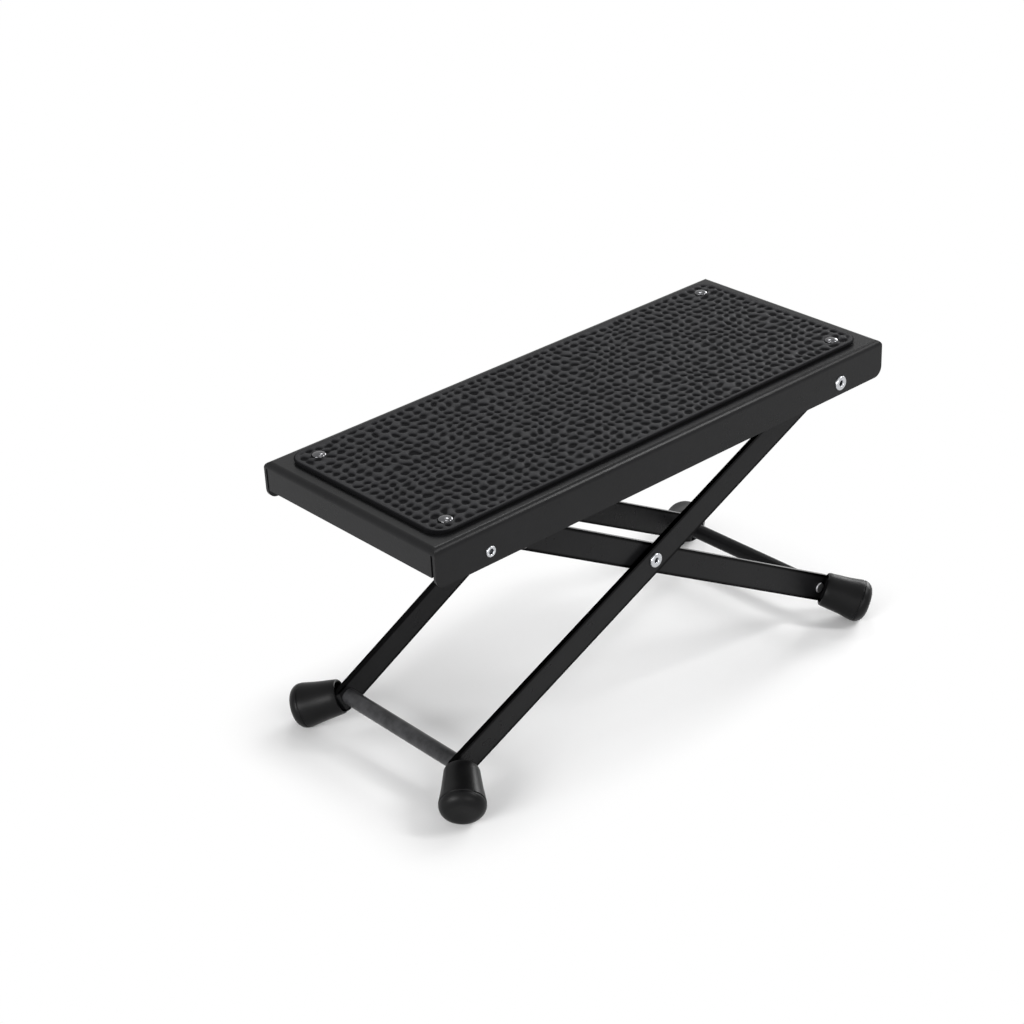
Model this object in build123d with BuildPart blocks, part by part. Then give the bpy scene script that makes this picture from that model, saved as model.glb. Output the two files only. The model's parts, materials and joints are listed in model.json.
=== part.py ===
from build123d import *
from math import cos, radians, sin, sqrt, tan
import os

# Folding footrest for a seated player, in black steel. A pressed tread stands on two
# frames of flat bar that cross like scissors. The outer frame hangs on rivets at one end
# of the tread, and the lock rod of the inner frame sits under the notches of two racks.
# Millimetres, +Z up, +X along the tread towards its hinged end, the front at -Y.
# The origin is on the floor straight under the rivets where the frames cross.

# Pressed tread
tread_length = 290.0
tread_width = 120.0
sheet = 1.5
fold_radius = 3.0
side_flange = 19.0
end_flange = 14.0
flange_corner = 5.0
corner_slit = 1.2

# Rubber mat and the studs that hold it
mat_end_margin = 8.0
mat_side_margin = 6.5
mat_thickness = 2.0
mat_corner = 9.0
mat_edge = 0.5
stud_end_inset = 12.0
stud_side_inset = 9.3
stud_head_radius = 3.3
stud_head_height = 1.3
stud_head_round = 1.0
stud_seat_depth = 0.6
stud_seat_play = 0.2
stud_shank_radius = 1.6
stud_tail_radius = 2.6
stud_tail_height = 0.6

# Stand in the notch that is shown: both frames rise at stand_angle from the floor
# and the tread leans by tread_lean, its hinged end the higher one. The legs toe: the
# outer ones close in towards their feet and the inner ones open out, so that they lie
# side by side when the frames fold.
stand_angle = 27.5
tread_lean = 1.55
rivet_end_inset = 31.0
rivet_depth = 12.7
outer_upper = 128.6
lower_length = 139.5
stand_side_inset = 13.0
leg_toe = 1.55

# Flat bar of the legs
bar_width = 14.0
bar_thickness = 2.5
bar_bend = 2.5
bar_tang = 16.0
bar_end_round_share = 0.49
foot_splay = 46.0

# Racks
rail_thickness = 3.0
rail_top = 5.0
rail_bottom = 16.5
rail_overhang = 9.0
rail_end_round = 4.0
notch_count = 6
notch_pitch = 8.0
notch_in_use = 1
notch_rise = 1.3
notch_tip_round = 0.7

# Tubular rivets, bushes and washers. The rivets that only hold the racks are smaller.
rivet_shank_radius = 2.2
rivet_bore_radius = 1.0
rivet_head_radius = 3.7
rivet_head_height = 1.1
rivet_head_round = 0.8
rivet_tail_radius = 3.3
rivet_tail_height = 0.9
rivet_tail_round = 0.4
rail_rivet_share = 0.72
rail_rivet_bore = 1.1
bush_radius = 5.0
washer_radius = 5.0
washer_gap = 1.0

# Lock rod and crossbars
rod_radius = 2.5
rod_middle_radius = 4.0
rod_end_inset = 1.2
rod_end_chamfer = 0.5
crossbar_radius = 4.0
crossbar_setback = 3.8
tenon_radius = 2.3
peen_radius = 2.7
peen_height = 0.8
peen_round = 0.6

# Rubber feet
foot_length = 24.3
foot_mouth_gap = 0.5
foot_offset = 3.0
foot_mouth_wide = 8.9
foot_mouth_thin = 8.4
foot_waist_height = 8.0
foot_waist_wide = 9.55
foot_waist_thin = 9.35
foot_end_radius = 11.05
foot_rim = 5.8
foot_rim_round = 5.0
foot_wall = 1.5
foot_recess = 4.5
foot_flat = 0.5

# Clearances
turning_clearance = 0.05
side_play = 0.05
rod_clearance = 0.3
notch_clearance = 0.3
overrun = 2.0

# Directions
lean = radians(tread_lean)
rise = radians(stand_angle)
splay = radians(foot_splay)
toe_slope = tan(radians(leg_toe))
front = Vector(0, -1, 0)

# A foot is a cone of rubber that points down the leg and outwards, set a little outwards
# of its bar. Its lowest point is on the round of its end, this far below the crossing
# rivets along the vertical.
foot_dip = cos(splay) * sin(rise)
foot_spread = sqrt(cos(rise) ** 2 + (sin(rise) * sin(splay)) ** 2)
foot_reach = foot_mouth_gap + foot_length - foot_rim_round
foot_depth = (
    lower_length * sin(rise)
    + foot_reach * foot_dip
    + (foot_end_radius - foot_rim_round) * foot_spread
    + foot_rim_round
    - foot_offset * sin(splay) * sin(rise)
)
crossing = Vector(0, 0, foot_depth - foot_flat)

# Frames: x runs down the leg to the foot, z is square to the frame and points up
outer_frame = Plane(
    origin=crossing, x_dir=(-cos(rise), 0, -sin(rise)), z_dir=(-sin(rise), 0, cos(rise))
)
inner_frame = Plane(
    origin=crossing, x_dir=(cos(rise), 0, -sin(rise)), z_dir=(sin(rise), 0, cos(rise))
)

# Tread plane: on top of the sheet, placed so that the outer legs reach its rivets
along_tread = Vector(cos(lean), 0, sin(lean))
up_from_tread = Vector(-sin(lean), 0, cos(lean))
rivet_x = tread_length / 2 - rivet_end_inset
outer_pivot = crossing - outer_frame.x_dir * outer_upper
tread = Plane(
    origin=outer_pivot - along_tread * rivet_x + up_from_tread * rivet_depth,
    x_dir=along_tread,
    z_dir=up_from_tread,
)
up = Axis(tread.origin, tread.z_dir)

# Lock rod: on the inner leg where it comes just under the tips of the racks
rod_depth = rail_bottom + rod_clearance + rod_radius
crossing_depth = (tread.origin - crossing).dot(up_from_tread)
inner_upper = (crossing_depth - rod_depth) / sin(rise + lean)
lock_point = crossing - inner_frame.x_dir * inner_upper
rod_x = (lock_point - tread.origin).dot(along_tread)

# Stack at the crossing, from the flange in to the inner legs, as distances from the middle
flange_face = tread_width / 2 - sheet
rail_face = flange_face - rail_thickness
half_bar = bar_thickness / 2
outer_middle = tread_width / 2 - stand_side_inset - half_bar
inner_middle = outer_middle - bar_thickness - washer_gap
outer_slope = -toe_slope
inner_slope = toe_slope
crossbar_at = lower_length - crossbar_setback

# The same at the outer pivot and at the lock rod
pivot_middle = outer_middle - outer_slope * outer_upper
rod_middle = inner_middle - inner_slope * inner_upper


def flank(plane):
    """The upright plane through the middle that faces the front, x as the given plane's."""
    return Plane(origin=plane.origin, x_dir=plane.x_dir, z_dir=front)


def radial(plane, centre):
    """A plane for turned profiles: x is the radius, y the distance towards the front."""
    return Plane(origin=centre, x_dir=plane.x_dir, z_dir=plane.x_dir.cross(front))


def save(piece, name):
    """Label a finished piece and write it."""
    piece.part.label = name
    export_step(piece.part, f"parts/{name}.step")


def save_pair(piece, name):
    """Write the front piece and its mirror image at the rear."""
    with BuildPart() as rear:
        mirror(piece.part, about=Plane.XZ)
    save(piece, f"{name}_front")
    save(rear, f"{name}_rear")


def foot_axis(frame):
    """The way a front foot points: down the leg and outwards."""
    return frame.x_dir * cos(splay) + front * sin(splay)


def leg_point(frame, middle, slope, down):
    """A point of the front leg's centreline, this far down the frame from the crossing."""
    return frame.origin + frame.x_dir * down + front * (middle + slope * down)


def make_leg(frame, middle, slope, upper, top_bore, cross_bore):
    """Flat bar with a round top end, bent outwards above the foot, with its three holes."""
    top = leg_point(frame, middle, slope, -upper - bar_width / 2)
    corner = leg_point(frame, middle, slope, lower_length)
    down_leg = (corner - top).normalized()
    across = down_leg.cross(frame.z_dir)
    with BuildPart() as leg:
        with BuildLine():
            FilletPolyline(top, corner, corner + foot_axis(frame) * bar_tang, radius=bar_bend)
        with BuildSketch(Plane(origin=top, x_dir=across, z_dir=down_leg)):
            Rectangle(bar_thickness, bar_width)
        sweep()
        across_edges = leg.edges().filter_by(Axis(top, across))
        top_corners = across_edges.sort_by(Axis(top, down_leg))[:2]
        fillet(top_corners, radius=bar_width * bar_end_round_share)
        with BuildSketch(flank(frame)):
            with Locations((-upper, 0)):
                Circle(top_bore)
            Circle(cross_bore)
            with Locations((crossbar_at, 0)):
                Circle(tenon_radius)
        extrude(amount=tread_width, both=True, mode=Mode.SUBTRACT)
    return leg


def make_foot(frame, middle, slope):
    """Rubber foot: an oval mouth that swells to a round end, hollow where the bar goes in."""
    corner = leg_point(frame, middle, slope, lower_length)
    mouth = corner + foot_axis(frame) * foot_mouth_gap
    slot = Plane(origin=mouth, x_dir=frame.z_dir, z_dir=foot_axis(frame))
    outer_side = front * cos(splay) - frame.x_dir * sin(splay)
    middle_of_mouth = mouth + outer_side * foot_offset
    base = Plane(origin=middle_of_mouth, x_dir=frame.z_dir, z_dir=foot_axis(frame))
    outwards = Axis(base.origin, base.z_dir)
    with BuildPart() as foot:
        with BuildSketch(base):
            Ellipse(foot_mouth_wide, foot_mouth_thin)
        with BuildSketch(base.offset(foot_waist_height)):
            Ellipse(foot_waist_wide, foot_waist_thin)
        with BuildSketch(base.offset(foot_length - foot_rim)):
            Circle(foot_end_radius)
        loft()
        extrude(foot.faces().sort_by(outwards)[-1], amount=foot_rim)
        fillet(foot.edges().sort_by(outwards)[-1], radius=foot_rim_round)
        with BuildSketch(base):
            Ellipse(foot_mouth_wide - foot_wall, foot_mouth_thin - foot_wall)
        extrude(amount=foot_recess, mode=Mode.SUBTRACT)
        with BuildSketch(slot):
            Rectangle(bar_width, bar_thickness)
        extrude(amount=bar_tang - foot_mouth_gap, mode=Mode.SUBTRACT)
        split(bisect_by=Plane.XY, keep=Keep.TOP)
    return foot


def make_rivet(plane, centre, head_face, tail_face, bore=rivet_bore_radius, share=1):
    """Tubular rivet along Y, its rolled head towards the front, at a share of full size."""
    head_top = head_face + rivet_head_height * share
    tail_end = tail_face - rivet_tail_height * share
    with BuildPart() as rivet:
        with BuildSketch(radial(plane, centre)) as profile:
            with BuildLine():
                Polyline(
                    (bore, tail_end),
                    (rivet_tail_radius * share, tail_end),
                    (rivet_tail_radius * share, tail_face),
                    (rivet_shank_radius * share, tail_face),
                    (rivet_shank_radius * share, head_face),
                    (rivet_head_radius * share, head_face),
                    (rivet_head_radius * share, head_top),
                    (bore, head_top),
                    close=True,
                )
            make_face()
            widest = profile.vertices().sort_by(Axis.X)[-2:]
            fillet(widest.sort_by(Axis.Y)[-1], radius=rivet_head_round * share)
            tail_corners = profile.vertices().group_by(Axis.Y)[0]
            fillet(tail_corners.sort_by(Axis.X)[-1], radius=rivet_tail_round * share)
        revolve(axis=Axis(centre, front))
    return rivet


def make_crossbar(frame, middle, slope):
    """Round bar between two legs, with tenons through them that are peened over outside."""
    centre = frame.origin + frame.x_dir * crossbar_at
    leg_middle = middle + slope * crossbar_at
    shoulder = leg_middle - half_bar - crossbar_radius * toe_slope
    face = leg_middle + half_bar + peen_radius * toe_slope
    with BuildPart() as crossbar:
        with BuildSketch(radial(frame, centre)) as profile:
            with BuildLine():
                Polyline(
                    (0, 0),
                    (crossbar_radius, 0),
                    (crossbar_radius, shoulder),
                    (tenon_radius, shoulder),
                    (tenon_radius, face),
                    (peen_radius, face),
                    (peen_radius, face + peen_height),
                    (0, face + peen_height),
                    close=True,
                )
            make_face()
            peen_edge = profile.vertices().sort_by(Axis.Y)[-2:].sort_by(Axis.X)[-1]
            fillet(peen_edge, radius=peen_round)
        revolve(axis=Axis(centre, front))
        mirror(about=Plane.XZ)
    return crossbar


os.makedirs("parts", exist_ok=True)

# Tread: a shallow tray, folded down all round. The end flanges stop above the side
# flanges, whose lower corners are round, and a slit parts them at each corner.
with BuildPart() as top_plate:
    with BuildSketch(tread):
        Rectangle(tread_length, tread_width)
    extrude(amount=-side_flange)
    fillet(top_plate.faces().sort_by(up)[-1].edges(), radius=fold_radius)
    offset(amount=-sheet, openings=top_plate.faces().sort_by(up)[0])
    inside_width = 2 * flange_face
    end_middle = (tread_length - sheet) / 2
    with BuildSketch(tread.offset(-end_flange)):
        with Locations((-end_middle, 0), (end_middle, 0)):
            Rectangle(sheet + overrun, inside_width)
    extrude(amount=-side_flange, mode=Mode.SUBTRACT)
    along = Axis(tread.origin, tread.x_dir)
    low_ends = top_plate.edges().filter_by(Axis.Y).group_by(up)[0].sort_by(along)
    fillet(low_ends[:2] + low_ends[-2:], radius=flange_corner)
    with BuildSketch(tread.offset(-fold_radius)):
        with GridLocations(tread_length - sheet, inside_width - corner_slit, 2, 2):
            Rectangle(2 * sheet, corner_slit)
    extrude(amount=-side_flange, mode=Mode.SUBTRACT)
    rail_hole_radius = rivet_shank_radius * rail_rivet_share
    with BuildSketch(flank(tread)):
        with Locations((-rivet_x, -rivet_depth)):
            Circle(rail_hole_radius)
        with Locations((rivet_x, -rivet_depth)):
            Circle(rivet_shank_radius)
    extrude(amount=tread_width, both=True, mode=Mode.SUBTRACT)
    mat_length = tread_length - 2 * mat_end_margin
    mat_width = tread_width - 2 * mat_side_margin
    stud_spacing_x = mat_length - 2 * stud_end_inset
    stud_spacing_y = mat_width - 2 * stud_side_inset
    with BuildSketch(tread):
        with GridLocations(stud_spacing_x, stud_spacing_y, 2, 2):
            Circle(stud_shank_radius)
    extrude(amount=-sheet, mode=Mode.SUBTRACT)
save(top_plate, "top_plate")

# Rubber mat, held by four studs that sit in shallow round seats
with BuildPart() as rubber_mat:
    stud_seat = mat_thickness - stud_seat_depth
    with BuildSketch(tread):
        RectangleRounded(mat_length, mat_width, mat_corner)
    extrude(amount=mat_thickness)
    fillet(rubber_mat.faces().sort_by(up)[-1].edges(), radius=mat_edge)
    with BuildSketch(tread):
        with GridLocations(stud_spacing_x, stud_spacing_y, 2, 2):
            Circle(stud_shank_radius)
    extrude(amount=mat_thickness, mode=Mode.SUBTRACT)
    with BuildSketch(tread.offset(stud_seat)):
        with GridLocations(stud_spacing_x, stud_spacing_y, 2, 2):
            Circle(stud_head_radius + stud_seat_play)
    extrude(amount=stud_seat_depth, mode=Mode.SUBTRACT)
save(rubber_mat, "rubber_mat")

# The four studs: a low dome on the mat, a shank through the sheet and a flat tail
with BuildPart() as mat_studs:
    with BuildSketch(tread.offset(-sheet - stud_tail_height)):
        with GridLocations(stud_spacing_x, stud_spacing_y, 2, 2):
            Circle(stud_tail_radius)
    extrude(amount=stud_tail_height)
    with BuildSketch(tread.offset(-sheet)):
        with GridLocations(stud_spacing_x, stud_spacing_y, 2, 2):
            Circle(stud_shank_radius)
    extrude(amount=sheet + stud_seat)
    with BuildSketch(tread.offset(stud_seat)):
        with GridLocations(stud_spacing_x, stud_spacing_y, 2, 2):
            Circle(stud_head_radius)
    extrude(amount=stud_head_height)
    fillet(mat_studs.edges().group_by(up)[-1], radius=stud_head_round)
save(mat_studs, "mat_studs")

# Rack: a strip flat against the side flange, riveted at both ends. The lock rod
# seats from below in the notches of its lower edge, one for each height.
with BuildPart() as rack_rail:
    with BuildSketch(flank(tread).offset(rail_face)) as strip:
        with Locations((0, -(rail_top + rail_bottom) / 2)):
            Rectangle(2 * (rivet_x + rail_overhang), rail_bottom - rail_top)
        fillet(strip.vertices(), radius=rail_end_round)
        notch_radius = rod_radius + notch_clearance
        first_notch = rod_x - notch_in_use * notch_pitch
        for step in range(notch_count):
            notch_x = first_notch + step * notch_pitch
            with Locations((notch_x, notch_rise - rail_bottom)):
                Circle(notch_radius, mode=Mode.SUBTRACT)
            with Locations((notch_x, -rail_bottom)):
                Rectangle(2 * notch_radius, 2 * notch_rise, mode=Mode.SUBTRACT)
        tips = strip.vertices().group_by(Axis.Y)[0].sort_by(Axis.X)[1:-1]
        fillet(tips, radius=notch_tip_round)
        with Locations((-rivet_x, -rivet_depth)):
            Circle(rail_hole_radius, mode=Mode.SUBTRACT)
        with Locations((rivet_x, -rivet_depth)):
            Circle(rivet_shank_radius, mode=Mode.SUBTRACT)
    extrude(amount=rail_thickness)
save_pair(rack_rail, "rack_rail")

# Rivets through the side flange: one holds the rack, the other also carries the leg
rack_point = tread.origin - along_tread * rivet_x - up_from_tread * rivet_depth
rail_rivet_size = (rail_rivet_bore, rail_rivet_share)
rail_rivet = make_rivet(tread, rack_point, tread_width / 2, rail_face, *rail_rivet_size)
save_pair(rail_rivet, "rail_rivet")
tail_gap = side_play + rivet_tail_radius * toe_slope
pivot_tail = pivot_middle - half_bar - tail_gap
pivot_rivet = make_rivet(tread, outer_pivot, tread_width / 2, pivot_tail)
save_pair(pivot_rivet, "pivot_rivet")

# Bush on the pivot rivet between the rack and the outer leg
with BuildPart() as pivot_bush:
    bush_face = pivot_middle + half_bar + side_play + bush_radius * toe_slope
    with BuildSketch(flank(tread).offset(bush_face)):
        with Locations((rivet_x, -rivet_depth)):
            Circle(bush_radius)
            Circle(rivet_shank_radius + turning_clearance, mode=Mode.SUBTRACT)
    extrude(amount=rail_face - bush_face)
save_pair(pivot_bush, "pivot_bush")

# Outer frame: two legs on the pivot rivets, joined above the feet by a crossbar
turning_radius = rivet_shank_radius + turning_clearance
outer_legs = (outer_frame, outer_middle, outer_slope)
outer_leg = make_leg(*outer_legs, outer_upper, turning_radius, rivet_shank_radius)
save_pair(outer_leg, "outer_leg")
outer_crossbar = make_crossbar(*outer_legs)
save(outer_crossbar, "outer_crossbar")
outer_foot = make_foot(*outer_legs)
save_pair(outer_foot, "outer_foot")

# Rivet where the frames cross, fast in the outer leg, with a washer between the legs
cross_head = outer_middle + half_bar + rivet_head_radius * toe_slope
cross_tail = inner_middle - half_bar - tail_gap
cross_rivet = make_rivet(outer_frame, crossing, cross_head, cross_tail)
save_pair(cross_rivet, "cross_rivet")
with BuildPart() as cross_washer:
    washer_play = side_play + washer_radius * toe_slope
    with BuildSketch(flank(outer_frame).offset(inner_middle + half_bar + washer_play)):
        Circle(washer_radius)
        Circle(rivet_shank_radius, mode=Mode.SUBTRACT)
    extrude(amount=washer_gap - 2 * washer_play)
save_pair(cross_washer, "cross_washer")

# Inner frame: two legs on the crossing rivets, with a crossbar and the lock rod
inner_legs = (inner_frame, inner_middle, inner_slope)
inner_leg = make_leg(*inner_legs, inner_upper, rod_radius, turning_radius)
save_pair(inner_leg, "inner_leg")
inner_crossbar = make_crossbar(*inner_legs)
save(inner_crossbar, "inner_crossbar")
inner_foot = make_foot(*inner_legs)
save_pair(inner_foot, "inner_foot")

# Lock rod: thick between the legs, turned down outside them to reach under the racks
with BuildPart() as lock_rod:
    rod_end = flange_face - rod_end_inset
    rod_shoulder = rod_middle - half_bar - rod_middle_radius * toe_slope
    with BuildSketch(radial(inner_frame, lock_point)) as rod_profile:
        with BuildLine():
            Polyline(
                (0, 0),
                (rod_middle_radius, 0),
                (rod_middle_radius, rod_shoulder),
                (rod_radius, rod_shoulder),
                (rod_radius, rod_end),
                (0, rod_end),
                close=True,
            )
        make_face()
        rod_corner = rod_profile.vertices().sort_by(Axis.Y)[-2:].sort_by(Axis.X)[-1]
        chamfer(rod_corner, length=rod_end_chamfer)
    revolve(axis=Axis(lock_point, front))
    mirror(about=Plane.XZ)
save(lock_rod, "lock_rod")

print("crossing rivets at", crossing)
print("outer pivot at", outer_pivot)
print("tread origin at", tread.origin)
print("lock rod at", lock_point, "rack x", rod_x, "inner upper length", inner_upper)
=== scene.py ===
# %% [markdown]
# # Dressing a folding footrest
#
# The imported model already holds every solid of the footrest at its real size, in metres,
# with the floor at z = 0. Those solids stay where they are. This lesson gives each of them
# a finish, and it replaces the few whose surface is richer than plain solids can show:
# the pitted rubber mat with its four studs, the four rubber feet and the tubular rivets.

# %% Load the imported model
import json
from math import cos, pi, radians, sin, sqrt, tau

import bmesh
import bpy
from mathutils import Matrix, Vector, noise


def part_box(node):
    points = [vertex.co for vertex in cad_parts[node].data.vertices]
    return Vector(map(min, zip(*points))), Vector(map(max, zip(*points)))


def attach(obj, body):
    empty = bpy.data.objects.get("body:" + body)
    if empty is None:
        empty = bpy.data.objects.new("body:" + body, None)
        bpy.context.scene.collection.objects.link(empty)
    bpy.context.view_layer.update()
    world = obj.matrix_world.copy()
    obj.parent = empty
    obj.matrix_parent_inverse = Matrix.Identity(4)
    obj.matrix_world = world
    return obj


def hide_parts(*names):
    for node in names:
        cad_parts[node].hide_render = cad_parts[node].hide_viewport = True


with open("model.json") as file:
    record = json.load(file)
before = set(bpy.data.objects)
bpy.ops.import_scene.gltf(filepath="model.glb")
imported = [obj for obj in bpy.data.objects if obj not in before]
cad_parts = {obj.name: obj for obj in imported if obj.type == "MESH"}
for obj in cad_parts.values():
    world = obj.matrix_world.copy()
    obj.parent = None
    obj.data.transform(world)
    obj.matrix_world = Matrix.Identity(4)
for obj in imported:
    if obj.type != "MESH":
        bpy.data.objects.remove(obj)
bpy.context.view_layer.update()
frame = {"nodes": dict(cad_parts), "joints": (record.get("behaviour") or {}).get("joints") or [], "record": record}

# %% [markdown]
# ## Where things are
#
# The tread leans a little, and the two frames cross like scissors. The record says where
# the tread's surface points and where both frames turn, so the lesson reads those places
# instead of repeating numbers that could go stale. Only the angle of the bars, the mat's
# thickness and the sizes of the new pieces are written down here.

# %% Places of the tread and of the two frames
mm = 0.001
joints = {joint["name"]: joint for joint in frame["joints"]}
mounts = {mount["name"]: mount for mount in frame["record"]["mounts"]}
crossing = Vector(joints["cross_fold"]["pos_m"])
leg_pivot = Vector(joints["outer_fold"]["pos_m"])
tread_up = Vector(mounts["tread"]["axis"]).normalized()
tread_along = Vector((tread_up.z, 0, -tread_up.x))
mat_thickness = 2 * mm
mat_low, mat_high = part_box("rubber_mat")
sheet_top = (mat_low + mat_high) / 2 - tread_up * mat_thickness / 2
stand_angle = radians(27.5)
rise, run = sin(stand_angle), cos(stand_angle)
down_outer, square_outer = Vector((-run, 0, -rise)), Vector((-rise, 0, run))
down_inner, square_inner = Vector((run, 0, -rise)), Vector((rise, 0, run))


def placed(origin, x_axis, y_axis, z_axis):
    """The matrix that carries a shape from its own axes to its place on the footrest."""
    turn = Matrix((x_axis, y_axis, z_axis)).transposed().to_4x4()
    return Matrix.Translation(origin) @ turn


on_tread = placed(sheet_top, tread_along, Vector((0, 1, 0)), tread_up)
print("sheet top at", sheet_top, "tread leans", round(tread_along.z, 4))

# %% [markdown]
# ## The camera
#
# The picture was taken from the left, well above the tread, with a long lens: the far end
# of the tread is hardly smaller than the near one. Turning a camera by eye would take many
# tries, so its place, its turn and its lens were fitted until the edges of the solids fell
# on those of the picture, and only the result is written here.

# %% Set the camera
lens_length, sensor_width = 78.84, 36
nearest_seen, furthest_seen = 0.01, 50
camera_place = Vector((-664.5, -701.53, 593.07)) * mm
look_right = Vector((0.742603, -0.669279, -0.024633)).normalized()
look_up = Vector((0.326006, 0.329104, 0.886234)).normalized()


def added(name, data):
    """A new object of the scene around the given mesh, lamp or camera."""
    thing = bpy.data.objects.new(name, data)
    bpy.context.collection.objects.link(thing)
    return thing


camera = added("camera", bpy.data.cameras.new("camera"))
camera.data.sensor_width, camera.data.lens = sensor_width, lens_length
camera.data.clip_start, camera.data.clip_end = nearest_seen, furthest_seen
camera.matrix_world = placed(camera_place, look_right, look_up, look_right.cross(look_up))
bpy.context.scene.camera = camera
print("camera at", camera.location, "lens", camera.data.lens)

# %% [markdown]
# ## Writing finishes as sums
#
# A finish is a small network of nodes. Wiring it by hand is slow to write and to read, so
# one class wraps a socket and turns + - * and abs into Math nodes. The reflected forms let
# a number stand first, as in 1 - mask.

# %% A socket that can be used in sums
class Wire:
    """One output socket in a network of nodes."""

    def __init__(self, network, socket):
        self.network = network
        self.socket = socket

    def __add__(self, other):
        return self.network.number_math("ADD", self, other)

    def __sub__(self, other):
        return self.network.number_math("SUBTRACT", self, other)

    def __rsub__(self, other):
        return self.network.number_math("SUBTRACT", other, self)

    def __mul__(self, other):
        return self.network.number_math("MULTIPLY", self, other)

    def __abs__(self):
        return self.network.number_math("ABSOLUTE", self)

    def between(self, low, high):
        """low where this wire is 0 and high where it is 1."""
        return self * (high - low) + low

    __radd__, __rmul__ = __add__, __mul__


print("sums ready")

# %% [markdown]
# ## Networks of nodes
#
# A material and the world keep their nodes in the same kind of network, so one class makes
# the nodes of both. One method takes a node's type, its settings and its inputs, and sets
# the settings first, because they decide which sockets there are. Places and directions go
# through Vector Math, since a Math node would turn them into single numbers.

# %% A network that makes its nodes
class Network:
    """The nodes of one material or of the world."""

    def __init__(self, tree):
        self.tree = tree

    def node(self, kind, settings, inputs, output=0):
        """A new node, given as the wire of one of its outputs."""
        made = self.tree.nodes.new(kind)
        for name, value in settings.items():
            setattr(made, name, value)
        self.feed(made, inputs)
        return Wire(self, made.outputs[output])

    def feed(self, made, inputs):
        """Give sockets of a node their values or their links."""
        for name, value in inputs.items():
            if isinstance(value, Wire):
                self.tree.links.new(value.socket, made.inputs[name])
            else:
                made.inputs[name].default_value = value

    def number_math(self, operation, *terms):
        return self.node("ShaderNodeMath", {"operation": operation}, dict(enumerate(terms)))

    def vector_math(self, operation, *terms, output=0):
        settings = {"operation": operation}
        return self.node("ShaderNodeVectorMath", settings, dict(enumerate(terms)), output)

    def rays(self, kind):
        """1 for light of the given kind, such as what the camera sees, and 0 for the rest."""
        return self.node("ShaderNodeLightPath", {}, {}, kind)


print("networks ready")

# %% [markdown]
# ## A material
#
# Every finish of the footrest is one principled shader whose colour, gloss and fine relief
# drift with soft noise, because no real surface is perfectly even. The noise reads Object
# coordinates. Each piece has its object at the origin and its place in its mesh, so those
# coordinates are places on the footrest in metres, and a pattern has its true size without
# any map.

# %% A material and its nodes
class Finish(Network):
    """A material with one principled shader, and the nodes that feed it."""

    def __init__(self, name):
        self.material = bpy.data.materials.new(name)
        self.material.use_nodes = True
        super().__init__(self.material.node_tree)
        self.shader = self.tree.nodes["Principled BSDF"]
        self.place = self.node("ShaderNodeTexCoord", {}, {}, "Object")

    def cloud(self, size, detail):
        """Soft noise from 0 to 1 whose lumps are about as wide as size."""
        inputs = {"Vector": self.place, "Scale": 1 / size, "Detail": detail}
        return self.node("ShaderNodeTexNoise", {}, inputs)

    def step(self, value, low, high):
        """0 below low, 1 above high and a smooth ramp between."""
        inputs = {"Value": value, "From Min": low, "From Max": high}
        return self.node("ShaderNodeMapRange", {"interpolation_type": "SMOOTHSTEP"}, inputs)

    def mix(self, share, first, second):
        """The first colour where share is 0 and the second where it is 1."""
        return self.node("ShaderNodeMix", {"data_type": "RGBA"}, {0: share, 6: first, 7: second}, 2)

    def along(self, direction, point):
        """How far a point of the surface lies from the given point along a direction."""
        away = self.vector_math("SUBTRACT", self.place, point)
        return self.vector_math("DOT_PRODUCT", away, direction, output="Value")

    def bump(self, height, depth, below=None):
        """A surface that rises by depth where height is 1, over the bump below it if any."""
        inputs = {"Height": height, "Distance": depth}
        if below is not None:
            inputs["Normal"] = below
        return self.node("ShaderNodeBump", {}, inputs)

    def finish(self, **inputs):
        """Feed the shader. An underline in a name stands for a space."""
        self.feed(self.shader, {name.replace("_", " "): value for name, value in inputs.items()})
        print("finish", self.material.name, len(self.tree.nodes), "nodes")
        return self.material


print("finishes ready")

# %% [markdown]
# ## Powder coat
#
# All the steel is coated with black powder that melts into a satin skin. Close up it has
# the fine ripple called orange peel, and its colour and gloss drift a little from place to
# place. One painted picture could hold all that for one bar, but every piece would need
# its own. So the coat is written once, as a function, and each kind of bar hands it a mask
# for the painted shade along its edges and another for where its steel is bare.

# %% The coat, with masks for painted edge shade and for bare metal
coat_black, coat_grey = (0.0045, 0.0045, 0.0049, 1), (0.0105, 0.0105, 0.0112, 1)
coat_worn_and_sheen, edge_shade_black = (0.06, 0.06, 0.063, 1), (0.0015, 0.0015, 0.0016, 1)
bare_steel = (0.4, 0.4, 0.41, 1)
drift_size, drift_share = 35 * mm, 0.6
grime_size, grime_share = 6 * mm, 0.4
ripple_size, ripple_depth = 1.3 * mm, 0.03 * mm
skin_size, skin_depth = 0.35 * mm, 0.006 * mm
satin, drift_dulls, grime_dulls, hammering_dulls = 0.2, 0.1, 0.08, 0.2


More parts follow.
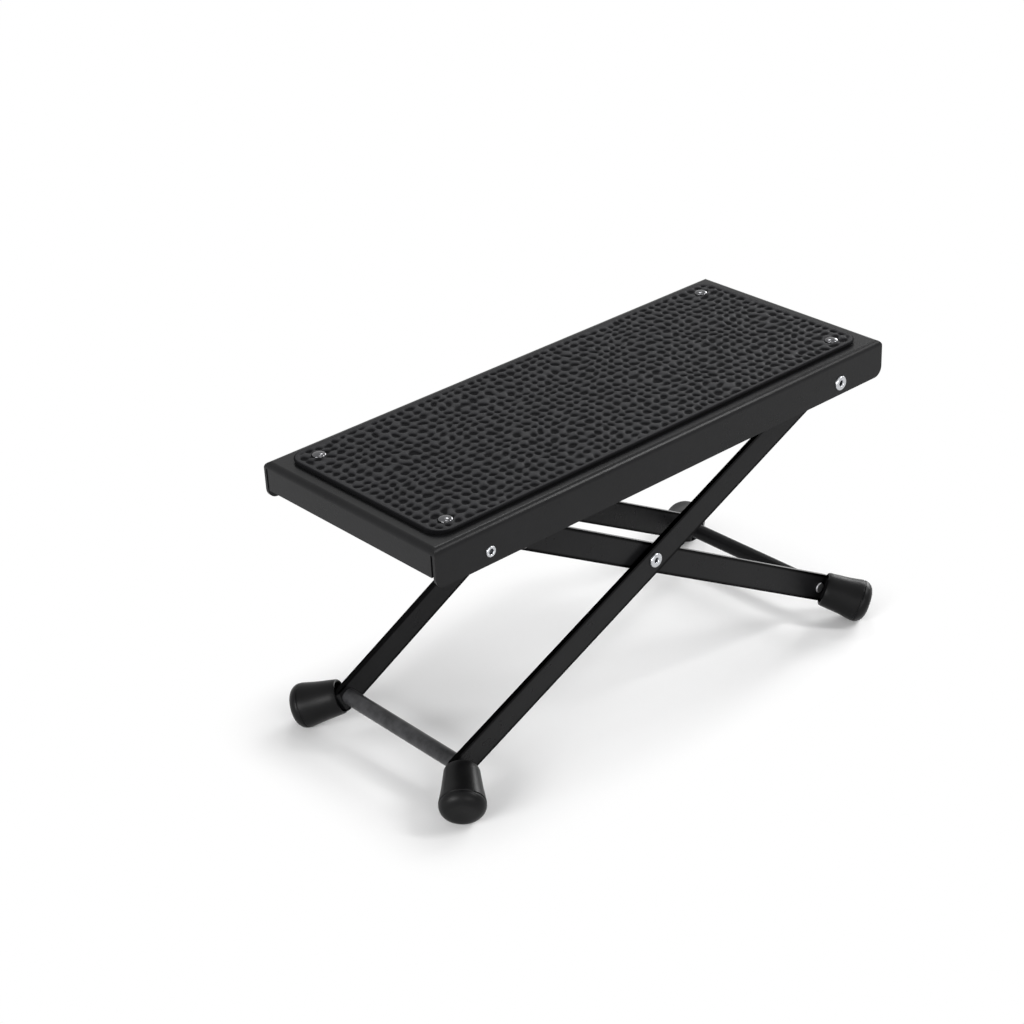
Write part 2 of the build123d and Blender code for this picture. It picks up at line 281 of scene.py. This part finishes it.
def powder_coat(name, gloss, wear_and_sheen=0.0, edge=None, bare=None):
    """Black powder coat. Its third argument is how far it is worn grey, part wear and part a
    painted sheen; edge(coat) is a mask of painted shade along edges, bare(coat) one of bare metal."""
    coat = Finish(name)
    drift = coat.cloud(drift_size, 3)
    grime = coat.cloud(grime_size, 4)
    colour = coat.mix(drift * drift_share + grime * grime_share, coat_black, coat_grey)
    roughness = drift * drift_dulls + grime * grime_dulls + satin
    metal = 0.0
    if wear_and_sheen:
        # The worn grey is partly real wear and partly a painted sheen.
        colour = coat.mix(coat.step(grime, 0.0, 1.0) * wear_and_sheen, colour, coat_worn_and_sheen)
    if edge:
        # The dark edge line is painted shade. Black metal mirrors almost nothing,
        # so the line stays dark beside the satin coat.
        metal = edge(coat)
        colour = coat.mix(metal, colour, edge_shade_black)
    if bare:
        metal = bare(coat)
        colour = coat.mix(metal, colour, bare_steel)
        roughness = roughness + metal * hammering_dulls
    ripple = coat.bump(coat.cloud(ripple_size, 1), ripple_depth)
    skin = coat.bump(coat.cloud(skin_size, 1), skin_depth, below=ripple)
    return coat.finish(
        Base_Color=colour, Roughness=roughness, Metallic=metal, Normal=skin, Specular_IOR_Level=gloss
    )


print("powder coat ready")

# %% [markdown]
# ## Dark edges and bare ends
#
# Along both sheared long edges of a flat bar the coat is painted blacker, painted shade for
# edges that catch little light. The crossbars end in tenons that are hammered over outside
# the bars, where the coat has come off. Both places are easy to tell by distance: from the
# middle line of a bar, measured square to it, and from the middle plane of the footrest.

# %% Coats for the tread, the bars, the racks and the round bars
half_bar, line_start, line_full = 7 * mm, 1.7 * mm, 0.8 * mm
outer_tenon, inner_tenon, tenon_brink = 43.4 * mm, 47.25 * mm, 0.1 * mm


def bar_edge_shade(square):
    """Both long edges of the flat bars that lie square to the given direction, painted as shade."""
    return lambda coat: coat.step(
        abs(coat.along(square, crossing)), half_bar - line_start, half_bar - line_full
    )


def peened_from(away):
    """The ends of a crossbar that lie further out than away."""
    sideways = Vector((0, 1, 0))
    return lambda coat: coat.step(abs(coat.along(sideways, crossing)), away - tenon_brink, away)


tread_coat = powder_coat("tread_coat", gloss=0.155)
outer_bar_coat = powder_coat("outer_bar_coat", gloss=0.13, edge=bar_edge_shade(square_outer))
inner_bar_coat = powder_coat("inner_bar_coat", gloss=0.13, edge=bar_edge_shade(square_inner))
# The outer crossbar is worn grey, partly real wear and partly a painted sheen. The inner one has little gloss, so
# that it shows dark, as in shade.
outer_round_coat = powder_coat(
    "outer_round_coat", gloss=0.19, wear_and_sheen=1.0, bare=peened_from(outer_tenon)
)
inner_round_coat = powder_coat("inner_round_coat", gloss=0.06, bare=peened_from(inner_tenon))
lock_rod_coat = powder_coat("lock_rod_coat", gloss=0.13)

# %% [markdown]
# ## Mat rubber
#
# The mat is charcoal rubber. Its ridges are grey on top, partly worn and partly a painted
# highlight, and its pits are painted black, painted shade where little light reaches.
# A noise of its own would put the grey beside the ridges. So the mesh of the mat keeps the
# height of its grain at every point, with painted shade at its rim and in the seats of the
# studs, and the material reads it: colour and relief then always agree.

# %% Mat rubber, with the height of its grain kept on the mesh
pit_shade_black, ridge_wear_and_sheen_grey = (0.0012, 0.0012, 0.0017, 1), (0.027, 0.027, 0.029, 1)
pore_size, pore_depth, patch_size = 0.9 * mm, 0.05 * mm, 26 * mm
still_black, fully_grey = 0.1, 1.0
mat_rubber = Finish("mat_rubber")
grain = mat_rubber.node("ShaderNodeAttribute", {"attribute_name": "grain"}, {}, "Fac")
height = mat_rubber.step(grain, still_black, fully_grey)
pores = mat_rubber.cloud(pore_size, 2)
patches = mat_rubber.cloud(patch_size, 3)
# Grey on the ridges is partly wear and partly a painted highlight; the black is painted shade in pits, seats and
# at the rim.
wear_and_painted_light = height * pores.between(0.7, 1.2) * patches.between(0.85, 1.15)
mat_rubber_finish = mat_rubber.finish(
    Base_Color=mat_rubber.mix(wear_and_painted_light, pit_shade_black, ridge_wear_and_sheen_grey),
    Roughness=height.between(0.95, 0.55) + pores * 0.05,
    Normal=mat_rubber.bump(pores, pore_depth),
    Specular_IOR_Level=0.12,
)

# %% [markdown]
# ## Foot rubber
#
# The feet are softer black rubber. Such rubber gets a faint grey bloom in patches, and
# dust clings to it in the last millimetres above the floor. Both are only slight changes
# of colour and gloss, so two clouds and the height above the floor are enough.

# %% Foot rubber
foot_black, foot_bloom = (0.003, 0.003, 0.0032, 1), (0.006, 0.006, 0.0063, 1)
dust_grey, dust_share = (0.05, 0.048, 0.045, 1), 0.08
bloom_size, speck_size, speck_depth = 9 * mm, 0.5 * mm, 0.012 * mm
dust_full, dust_end = 0.2 * mm, 3.2 * mm
foot_rubber = Finish("foot_rubber")
bloom = foot_rubber.cloud(bloom_size, 4)
specks = foot_rubber.cloud(speck_size, 2)
off_floor = foot_rubber.along(Vector((0, 0, 1)), Vector((0, 0, 0)))
low_down = 1 - foot_rubber.step(off_floor, dust_full, dust_end)
dust = low_down * foot_rubber.step(bloom, 0.35, 0.7)
bloomed_black = foot_rubber.mix(bloom, foot_black, foot_bloom)
foot_rubber_finish = foot_rubber.finish(
    Base_Color=foot_rubber.mix(dust * dust_share, bloomed_black, dust_grey),
    Roughness=bloom.between(0.3, 0.44) + dust * 0.2,
    Normal=foot_rubber.bump(specks, speck_depth),
    Specular_IOR_Level=0.13,
)

# %% [markdown]
# ## Zinc, nickel and nylon
#
# The rivets are zinc plated, with faint crystals and fine scratches. The studs are plated
# much darker and smoother, and the bushes and washers are plain black nylon. Each of the
# last two has one kind of cloud in its colour, its gloss and its relief, so one function
# makes both.

# %% Zinc, dark nickel and nylon
zinc_dark, zinc_light = (0.42, 0.43, 0.45, 1), (0.66, 0.67, 0.69, 1)
nickel_dark, nickel_light = (0.09, 0.09, 0.095, 1), (0.17, 0.17, 0.175, 1)
nylon_dark, nylon_light = (0.018, 0.018, 0.019, 1), (0.032, 0.032, 0.033, 1)
crystal_size, scratch_size, scratch_depth = 1.4 * mm, 0.25 * mm, 0.01 * mm
nickel_size, nickel_depth = 1.1 * mm, 0.01 * mm
nylon_size, nylon_depth = 3 * mm, 0.02 * mm


def clouded(name, size, colours, roughness, depth, metallic=0.0):
    """A finish in which one cloud moves colour and gloss between their two ends."""
    plain = Finish(name)
    cloud = plain.cloud(size, 3)
    return plain.finish(
        Base_Color=plain.mix(cloud, *colours),
        Metallic=metallic,
        Roughness=cloud.between(*roughness),
        Normal=plain.bump(cloud, depth),
    )


zinc = Finish("zinc_plate")
crystals = zinc.cloud(crystal_size, 3)
scratches = zinc.cloud(scratch_size, 4)
zinc_finish = zinc.finish(
    Base_Color=zinc.mix(crystals, zinc_dark, zinc_light),
    Metallic=1.0,
    Roughness=crystals.between(0.16, 0.28) + scratches * 0.1,
    Normal=zinc.bump(scratches, scratch_depth),
)
nickel_finish = clouded(
    "dark_nickel", nickel_size, (nickel_dark, nickel_light), (0.1, 0.2), nickel_depth, metallic=1.0
)
nylon_finish = clouded("bush_nylon", nylon_size, (nylon_dark, nylon_light), (0.42, 0.52), nylon_depth)

# %% Finish a piece
def make_piece(name, shape, material, body, stands_for, sharp=40):
    """Edges that bend by more than sharp degrees stay crisp, and the rest is smooth."""
    bmesh.ops.recalc_face_normals(shape, faces=shape.faces)
    mesh = bpy.data.meshes.new(name)
    shape.to_mesh(mesh)
    shape.free()
    mesh.shade_smooth()
    mesh.set_sharp_from_angle(angle=radians(sharp))
    mesh.materials.append(material)
    piece = added(name, mesh)
    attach(piece, body)
    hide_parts(stands_for)
    print(name, len(mesh.polygons), "faces on", body, "for", stands_for)


print("pieces ready")

# %% [markdown]
# ## Open rims
#
# The mat and the feet both grow from the open rim of a shape: it is extruded into a new
# ring, the ring is moved or scaled, and the last one is closed with a face. Three short
# helpers say so in the lines that follow.

# %% Find, extrude and close a rim
def open_edges(shape):
    return [edge for edge in shape.edges if edge.is_boundary]


def extruded_rim(shape):
    """Extrude the open rim of a shape and give the corners of the new ring."""
    grown = bmesh.ops.extrude_edge_only(shape, edges=open_edges(shape))["geom"]
    return [part for part in grown if isinstance(part, bmesh.types.BMVert)]


def close_rim(shape):
    bmesh.ops.edgeloop_fill(shape, edges=open_edges(shape))


print("rims ready")

# %% [markdown]
# ## The grain of the mat
#
# The mat is a rubber sheet pressed with a coarse grain: a net of ridges round pits a few
# millimetres wide, in rows that wander and here and there run together. A bump map would
# vanish at the outline and in the mesh files, so the grain is real. Two waves, one along
# the tread and one across, multiply to a net with one pit in each mesh. Noise makes the
# rows wander, shifts single pits, lets some of them merge and roughens their outlines.

# %% Height of the grain
pit_along, pit_across, pit_depth = 5.4 * mm, 5.2 * mm, 0.75 * mm
wander_rate, wander = 0.25, 0.6
shift_rate, shift = 0.95, 0.27
merge_rate, merge_mean, merge_swing = 0.4, 0.05, 0.4
merge_start = Vector((5, 2, 9))
rough_rate, roughen = 1.5, 0.22
net_share, ridge_level, pit_level = 0.5, -0.05, 0.85
grain_seed = 3
# Without a seed, noise vectors start from the clock, and every run would make another mat.
noise.seed_set(grain_seed)


def smooth(value, low, high):
    """0 below low, 1 above high and a smooth ramp between."""
    share = min(max((value - low) / (high - low), 0), 1)
    return share * share * (3 - 2 * share)


def wave(turns):
    """0 at whole turns and 1 half way between them."""
    return 0.5 - 0.5 * cos(tau * turns)


def ridge(x, y):
    """1 on a ridge of the grain and 0 at the bottom of a pit."""
    spot = Vector((x / pit_along, y / pit_across, 0))
    sway = noise.noise_vector(spot * wander_rate) * wander
    sway = sway + noise.noise_vector(spot * shift_rate) * shift
    along, across = wave(spot.x + sway.x), wave(spot.y + sway.y)
    merged = max(merge_mean + merge_swing * noise.noise(spot * merge_rate + merge_start), 0)
    net = across * (along + merged * (1 - along))
    hollow = net_share * net + (1 - net_share) * (across + along) / 2
    return 1 - smooth(hollow + roughen * noise.noise(spot * rough_rate), ridge_level, pit_level)


print("grain in the middle", round(ridge(0, 0), 3))

# %% [markdown]
# ## The outline of the mat
#
# The mat has round corners, and its rim follows them. A fine grid is the simplest sheet to
# shape, but its corners are square, and cutting them round would leave ragged cells. So
# each cell near a corner is bent into the round one, which keeps the grid whole.

# %% Round corners
mat_length, mat_width, mat_corner = 274 * mm, 107 * mm, 9 * mm


def from_edge(x, y):
    """How far a point of the mat lies inside its outline."""
    over_x = abs(x) - mat_length / 2 + mat_corner
    over_y = abs(y) - mat_width / 2 + mat_corner
    if over_x > 0 and over_y > 0:
        return mat_corner - sqrt(over_x * over_x + over_y * over_y)
    return mat_corner - max(over_x, over_y)


def rounded_corner(x, y):
    """Move a point of the square outline's corner into the mat's round corner."""
    over_x = (abs(x) - mat_length / 2 + mat_corner) / mat_corner
    over_y = (abs(y) - mat_width / 2 + mat_corner) / mat_corner
    if over_x <= 0 or over_y <= 0:
        return x, y
    round_x = over_x * sqrt(1 - over_y * over_y / 2)
    round_y = over_y * sqrt(1 - over_x * over_x / 2)
    inner_x, inner_y = mat_length / 2 - mat_corner, mat_width / 2 - mat_corner
    return (
        (inner_x + round_x * mat_corner) * (1 if x > 0 else -1),
        (inner_y + round_y * mat_corner) * (1 if y > 0 else -1),
    )


cut_off = -from_edge(mat_length / 2, mat_width / 2)
print("the square corner would lie", round(cut_off / mm, 2), "mm outside the round one")

# %% [markdown]
# ## The seats of the studs
#
# Each stud has drawn the rubber down into a shallow round seat. The grid is too coarse to
# draw a clean circle of that size, so the points nearest to a seat's edge are pulled onto
# two rings that lie close together, and the inner ring is pressed down.

# %% Press in the seats
stud_along, stud_across = mat_length / 2 - 12 * mm, mat_width / 2 - 9.3 * mm
seat_radius, seat_depth, ring_gap, grid_step = 3.5 * mm, 0.6 * mm, 0.15 * mm, 0.62 * mm


def seated(x, y):
    """Where a point of the grid goes near a seat, and how deep it is pressed."""
    centre = Vector((stud_along if x > 0 else -stud_along, stud_across if y > 0 else -stud_across))
    away = Vector((x, y)) - centre
    if away.length > seat_radius + grid_step / 2:
        return x, y, 0
    if away.length > seat_radius - grid_step * 1.5:
        low = away.length < seat_radius - grid_step / 2
        spot = centre + away.normalized() * (seat_radius - (ring_gap if low else 0))
        return spot.x, spot.y, seat_depth if low else 0
    return x, y, seat_depth


print("stud seats at", stud_along, stud_across)

# %% [markdown]
# ## Shaping the mat
#
# Now every point of the grid gets its height: the sheet's thickness, less the seat, less
# the grain, which fades out before a smooth rim, less a rounded lip at the very edge. The
# rim is extruded down to the steel, a little inwards, so that a black line of shade runs
# round the mat, and the height of the grain is kept for the colour. The wall, the last
# millimetre of the rim and the seats get the black of the pits, which is painted shade.

# %% Shape the mat
rim_width, lip_radius, undercut = 1.8 * mm, 0.6 * mm, 0.5 * mm
grain_fade, rim_height = 1.6 * mm, 0.75
shade_full_within, shade_gone_at = 0.1 * mm, 1.1 * mm
mat_shape = bmesh.new()
columns, rows = round(mat_length / grid_step), round(mat_width / grid_step)
bmesh.ops.create_grid(mat_shape, x_segments=columns, y_segments=rows, size=0.5)
bmesh.ops.scale(mat_shape, vec=(mat_length, mat_width, 1), verts=mat_shape.verts)
grain_layer = mat_shape.verts.layers.float.new("grain")
for vert in mat_shape.verts:
    x, y = rounded_corner(vert.co.x, vert.co.y)
    x, y, seat = seated(x, y)
    inside = from_edge(x, y)
    grown = smooth(inside, rim_width, rim_width + grain_fade) if seat == 0 else 0
    top = ridge(x, y) if grown > 0 else 1.0
    lip = max(lip_radius - inside, 0)
    drop = lip_radius - sqrt(max(lip_radius * lip_radius - lip * lip, 0))
    vert.co = (x, y, mat_thickness - drop - seat - pit_depth * grown * (1 - top))
    # The seats, the wall and the edge of the rim get the black of the pits: painted shade.
    rim = rim_height * smooth(inside, shade_full_within, shade_gone_at)
    vert[grain_layer] = 0.0 if seat else rim + (top - rim) * grown
foot_ring = extruded_rim(mat_shape)
for vert in foot_ring:
    vert.co.z = 0
    vert[grain_layer] = 0.0
narrowed = (1 - undercut * 2 / mat_length, 1 - undercut * 2 / mat_width, 1)
bmesh.ops.scale(mat_shape, vec=narrowed, verts=foot_ring)
close_rim(mat_shape)
bmesh.ops.transform(mat_shape, matrix=on_tread, verts=mat_shape.verts)
make_piece("pitted_mat", mat_shape, mat_rubber_finish, "tread", "rubber_mat", sharp=60)

# %% [markdown]
# ## The rubber feet
#
# Each foot is a thick rubber boot pushed over the bent end of a bar. Its mouth is an oval
# with a rounded lip, its body swells to a round end, a shallow groove runs round just
# above that end, and the end itself is a low dome. A spin can't make the oval mouth, so
# the boot is a stack of rings: the first is capped deep inside the mouth, and each next
# ring is extruded from the last and scaled.

# %% Stack the rings of a foot
foot_segments = 56
foot_rings = [
    (4.5, 1.2, 1.0), (4.5, 6.8, 6.3), (4.2, 7.3, 6.8), (1.0, 7.5, 7.0), (0.3, 7.7, 7.2),
    (0.0, 8.15, 7.65), (0.25, 8.65, 8.15), (0.9, 8.9, 8.4), (3.0, 9.1, 8.7), (6.0, 9.4, 9.1),
    (8.0, 9.55, 9.35), (11.0, 9.85, 9.8), (14.0, 10.3, 10.3), (16.5, 10.75, 10.75),
    (18.0, 11.0, 11.0), (18.4, 11.04, 11.04), (18.7, 10.7, 10.7), (19.0, 10.68, 10.68),
    (19.3, 11.0, 11.0), (19.6, 11.04, 11.04), (20.6, 10.87, 10.87), (21.8, 10.37, 10.37),
    (22.84, 9.58, 9.58), (23.63, 8.54, 8.54), (24.13, 7.33, 7.33), (24.3, 6.0, 6.0),
    (24.3, 3.0, 3.0), (24.3, 0.8, 0.8),
]


def ring_stack(rings, segments):
    """One closed skin through rings of (height, half width, half thickness) in millimetres."""
    shape = bmesh.new()
    bmesh.ops.create_circle(shape, cap_ends=True, radius=1, segments=segments)
    last = (0, 1, 1)
    ring = list(shape.verts)
    for number, (high, wide, thin) in enumerate(rings):
        if number:
            ring = extruded_rim(shape)
        bmesh.ops.scale(shape, vec=(wide / last[1], thin / last[2], 1), verts=ring)
        bmesh.ops.translate(shape, vec=(0, 0, high - last[0]), verts=ring)
        last = (high, wide, thin)
    close_rim(shape)
    bmesh.ops.scale(shape, vec=(mm, mm, mm), verts=shape.verts)
    return shape


print("rings in a foot", len(foot_rings))

# %% [markdown]
# ## Placing the feet
#
# Below its bend each bar splays outwards, and its foot follows that splay. The bend's
# place and the splay give each foot its axes, so the same stack serves all four. The floor
# has worn a small flat on each, so the placed boot is cut at floor level and closed again.

# %% Make the four feet
lower_length, foot_splay = 139.5 * mm, radians(46)
mouth_gap, mouth_offset = 0.5 * mm, 3 * mm
outer_bend, inner_bend = 41.975 * mm, 46.025 * mm


def make_foot(name, down, square, middle, side, body):
    """down runs along the bar, square across it, and middle is how far out its bend lies."""
    sideways = Vector((0, side, 0))
    axis = down * cos(foot_splay) + sideways * sin(foot_splay)
    outer_side = sideways * cos(foot_splay) - down * sin(foot_splay)
    bend = crossing + down * lower_length + sideways * middle
    mouth = bend + axis * mouth_gap + outer_side * mouth_offset
    shape = ring_stack(foot_rings, foot_segments)
    place = placed(mouth, square, axis.cross(square), axis)
    bmesh.ops.transform(shape, matrix=place, verts=shape.verts)
    everything = shape.verts[:] + shape.edges[:] + shape.faces[:]
    bmesh.ops.bisect_plane(shape, geom=everything, plane_no=(0, 0, 1), clear_inner=True)
    close_rim(shape)
    make_piece(name + "_boot", shape, foot_rubber_finish, body, name)


for side, end in ((-1, "front"), (1, "rear")):
    make_foot("outer_foot_" + end, down_outer, square_outer, outer_bend, side, "outer_frame")
    make_foot("inner_foot_" + end, down_inner, square_inner, inner_bend, side, "inner_frame")

# %% [markdown]
# ## A tubular rivet
#
# A tubular rivet is rolled over by its tool, so its head is a smooth ring round a dark
# hole. It is the same all round, which makes it a spin: half of its section is drawn once
# as a closed chain of points and spun round the rivet's axis. A closed chain gives a
# closed ring, so nothing has to be capped.

# %% Spin a rivet
shank_radius, head_radius, tail_radius = 2.2 * mm, 3.7 * mm, 3.3 * mm
crown_height, crown_side, crown_steps, rivet_steps = 1.1 * mm, 0.25, 10, 40
tail_mouth, tail_crest, tail_side, crest_share = 0.7 * mm, 0.9 * mm, 0.5 * mm, 0.8
mouth_sink = 0.2 * mm


def spin_profile(shape, profile, axis, steps, closed=False):
    """Turn a chain of points a full circle about an axis through the origin."""
    verts = [shape.verts.new(point) for point in profile]
    links = zip(verts, verts[1:] + verts[:1]) if closed else zip(verts, verts[1:])
    edges = [shape.edges.new(pair) for pair in links]
    bmesh.ops.spin(shape, geom=verts + edges, axis=axis, angle=tau, steps=steps, use_merge=True)


def make_rivet(name, centre, side, head_face, tail_face, bore, share, body):
    """side is -1 at the front. Faces are distances from the middle plane, share is the
    rivet's size beside that of the largest, and bore is the hole's radius."""
    shank, head, tail = shank_radius * share, head_radius * share, tail_radius * share
    points = [(bore, tail_face - tail_mouth), (tail * crest_share, tail_face - tail_crest)]
    points += [(tail, tail_face - tail_side), (tail, tail_face), (shank, tail_face)]
    points += [(shank, head_face), (head, head_face)]
    ring_middle, ring_half = (head + bore) / 2, (head - bore) / 2
    for number in range(1, crown_steps):
        turn = pi * number / crown_steps
        height = crown_height * share * (crown_side + (1 - crown_side) * sin(turn))
        points.append((ring_middle + ring_half * cos(turn), head_face + height))
    points.append((bore, head_face - mouth_sink))
    shape = bmesh.new()
    profile = [(radius, away * side, 0) for radius, away in points]
    spin_profile(shape, profile, (0, 1, 0), rivet_steps, closed=True)
    bmesh.ops.translate(shape, vec=(centre.x, 0, centre.z), verts=shape.verts)
    make_piece(name + "_ring", shape, zinc_finish, body, name, sharp=50)


print("rivets ready")

# %% [markdown]
# ## Where the rivets go
#
# On each side one rivet is the pivot of the outer leg, a smaller one holds the other end
# of the rack, as far from the tread's middle as the first, and one joins the legs where
# they cross. Each reaches from the outer face of what it holds to the inner one.

# %% Place the rivets
flange_out, rack_in = 60 * mm, 55.5 * mm
leg_out, pivot_in, cross_in = 47.1 * mm, 47.84 * mm, 40.86 * mm
pivot_bore, rail_bore, cross_bore, rail_share = 1.3 * mm, 1.25 * mm, 1.2 * mm, 0.72
rivet_reach = (leg_pivot - sheet_top).dot(tread_along)
rail_end = leg_pivot - tread_along * 2 * rivet_reach
for side, end in ((-1, "front"), (1, "rear")):
    make_rivet("pivot_rivet_" + end, leg_pivot, side, flange_out, pivot_in, pivot_bore, 1, "tread")
    make_rivet("rail_rivet_" + end, rail_end, side, flange_out, rack_in, rail_bore, rail_share, "tread")
    make_rivet("cross_rivet_" + end, crossing, side, leg_out, cross_in, cross_bore, 1, "outer_frame")

# %% [markdown]
# ## The studs of the mat
#
# Four small studs hold the mat's corners: a low dome in its seat, a shank through the
# sheet and a flat tail underneath. They are spun like the rivets, about the direction in
# which the tread points up. Their chain starts and ends on the axis, so it stays open,
# and the points that meet there are merged.

# %% Spin the studs
stud_tail = [(0.0, -2.1), (2.4, -2.1), (2.6, -1.9), (2.6, -1.5)]
stud_shank = [(1.6, -1.5), (1.6, 1.4), (3.0, 1.4), (3.25, 1.5)]
dome_radius, dome_foot, dome_height, dome_steps, stud_steps = 3.3, 1.6, 1.1, 8, 32
stud_profile = stud_tail + stud_shank
for number in range(dome_steps):
    turn = number * pi / (2 * dome_steps)
    stud_profile.append((dome_radius * cos(turn), dome_foot + dome_height * sin(turn)))
stud_profile.append((0.0, dome_foot + dome_height))
stud_points = [(radius * mm, 0, high * mm) for radius, high in stud_profile]
studs_shape = bmesh.new()
for along in (-stud_along, stud_along):
    for across in (-stud_across, stud_across):
        spin_profile(studs_shape, stud_points, (0, 0, 1), stud_steps)
        fresh = [vert for vert in studs_shape.verts if not vert.tag]
        bmesh.ops.translate(studs_shape, vec=(along, across, 0), verts=fresh)
        for vert in fresh:
            vert.tag = True
bmesh.ops.remove_doubles(studs_shape, verts=studs_shape.verts, dist=0.001 * mm)
bmesh.ops.transform(studs_shape, matrix=on_tread, verts=studs_shape.verts)
make_piece("domed_studs", studs_shape, nickel_finish, "tread", "mat_studs", sharp=50)

# %% [markdown]
# ## Finishes on the solids that stay
#
# The pressed tread, the racks, the bars, the crossbars, the lock rod, the bushes and the
# washers are already the right shape, so their solids stay and only take the finishes
# above. Front and rear solids differ in the last word of their names, which is dropped.

# %% Give each solid its finish
finishes = {
    "top_plate": tread_coat,
    "rack_rail": tread_coat,
    "pivot_bush": nylon_finish,
    "cross_washer": nylon_finish,
    "outer_leg": outer_bar_coat,
    "inner_leg": inner_bar_coat,
    "outer_crossbar": outer_round_coat,
    "inner_crossbar": inner_round_coat,
    "lock_rod": lock_rod_coat,
}
for name, node in frame["nodes"].items():
    finish = finishes.get(name) or finishes.get(name.rsplit("_", 1)[0])
    if finish:
        node.data.materials.clear()
        node.data.materials.append(finish)
print("solids with a finish", sum(1 for node in frame["nodes"].values() if not node.hide_render))

# %% [markdown]
# ## The paper on the floor
#
# The footrest stands on plain white paper. Lit only by the lamps it would be pale grey, so
# a few centimetres outside the feet it goes over to a plain white that gives off its own
# light. Only the camera and reflections see that white: it lights nothing, and near the
# feet the paper stays real and keeps their shadow.

# %% Ground
ground_half, paper_white, pure_white = 6, (0.94, 0.94, 0.94, 1), (1, 1, 1, 1)
stand_half, white_starts, white_full = (0.13, 0.055, 0), 0.012, 0.05
ground_shape = bmesh.new()
bmesh.ops.create_grid(ground_shape, x_segments=1, y_segments=1, size=ground_half)
ground_mesh = bpy.data.meshes.new("ground")
ground_shape.to_mesh(ground_mesh)
ground_shape.free()
ground = added("ground", ground_mesh)
paper = Finish("paper")
beyond = paper.vector_math("SUBTRACT", paper.vector_math("ABSOLUTE", paper.place), stand_half)
outside = paper.vector_math("MAXIMUM", beyond, (0, 0, 0))
reach = paper.vector_math("LENGTH", outside, output="Value")
seen = paper.number_math("MAXIMUM", paper.rays("Is Camera Ray"), paper.rays("Is Glossy Ray"))
lit = Wire(paper, paper.shader.outputs[0])
white = paper.node("ShaderNodeEmission", {}, {"Color": pure_white, "Strength": 1.0})
share = seen * paper.step(reach, white_starts, white_full)
shown = paper.node("ShaderNodeMixShader", {}, {0: share, 1: lit, 2: white})
paper.feed(paper.tree.nodes["Material Output"], {"Surface": shown})
ground_mesh.materials.append(
    paper.finish(Base_Color=paper_white, Roughness=1.0, Specular_IOR_Level=0.0)
)

# %% [markdown]
# ## The world
#
# The world fills the shadows with an even grey. Black satin shows mostly what it mirrors,
# so the same grey would leave it dead, and the world is lighter in reflections. The camera
# sees it white, so that no horizon shows behind the paper.

# %% World
studio_grey, mirrored_grey = 0.33, 0.8
world = bpy.data.worlds.new("studio")
bpy.context.scene.world = world
world.use_nodes = True
studio = Network(world.node_tree)
lighting = studio.rays("Is Glossy Ray").between(studio_grey, mirrored_grey)
strength = studio.number_math("MAXIMUM", lighting, studio.rays("Is Camera Ray"))
studio.feed(world.node_tree.nodes["Background"], {"Color": pure_white, "Strength": strength})
print("world", studio_grey, "and", mirrored_grey, "in reflections")

# %% [markdown]
# ## The lamps
#
# A studio lights such a thing with soft boxes, whose reflections draw its edges. The
# narrow box at the front right draws the bright line along the tread's near fold, the wide
# ones at the sides reach in under the tread, so that its shadow stays light, and the one
# in front lifts the near side. The small one overhead deepens the shadow right under the
# tread, and the small one at the back right puts a glint on the mat's ridges.

# %% Lamps
lamp_aim, fold_lean = Vector((0, 0, 0.1)), (0, 0.82, 0.57)
wide_box = {"distance": 1.8, "width": 1.0, "height": 0.8}
small_box = {"width": 0.3, "height": 0.3}


def lamp(name, direction, distance, power, width, height, lean=(0, 0, 1)):
    """A soft box that faces the footrest, its height along lean."""
    light = bpy.data.lights.new(name, "AREA")
    light.shape, light.size, light.size_y, light.energy = "RECTANGLE", width, height, power
    back = Vector(direction).normalized()
    across = Vector(lean).cross(back).normalized()
    box = added(name, light)
    box.matrix_world = placed(lamp_aim + back * distance, across, back.cross(across), back)
    print("lamp", name, power, "W")


lamp("fold_strip", (0.585, -0.462, 0.665), distance=1.9, power=12, width=0.22, height=0.8, lean=fold_lean)
lamp("top_softbox", (0.08, 0.1, 0.99), distance=1.3, power=1.2, **small_box)
lamp("left_softbox", (-0.95, -0.12, 0.3), power=25, **wide_box)
lamp("right_softbox", (0.94, 0.15, 0.3), power=23, **wide_box)
lamp("front_softbox", (-0.26, -0.92, 0.3), power=8, **wide_box)
lamp("glint", (0.463, 0.482, 0.737), distance=1.9, power=3, **small_box)
bpy.context.scene.view_settings.view_transform = "Standard"
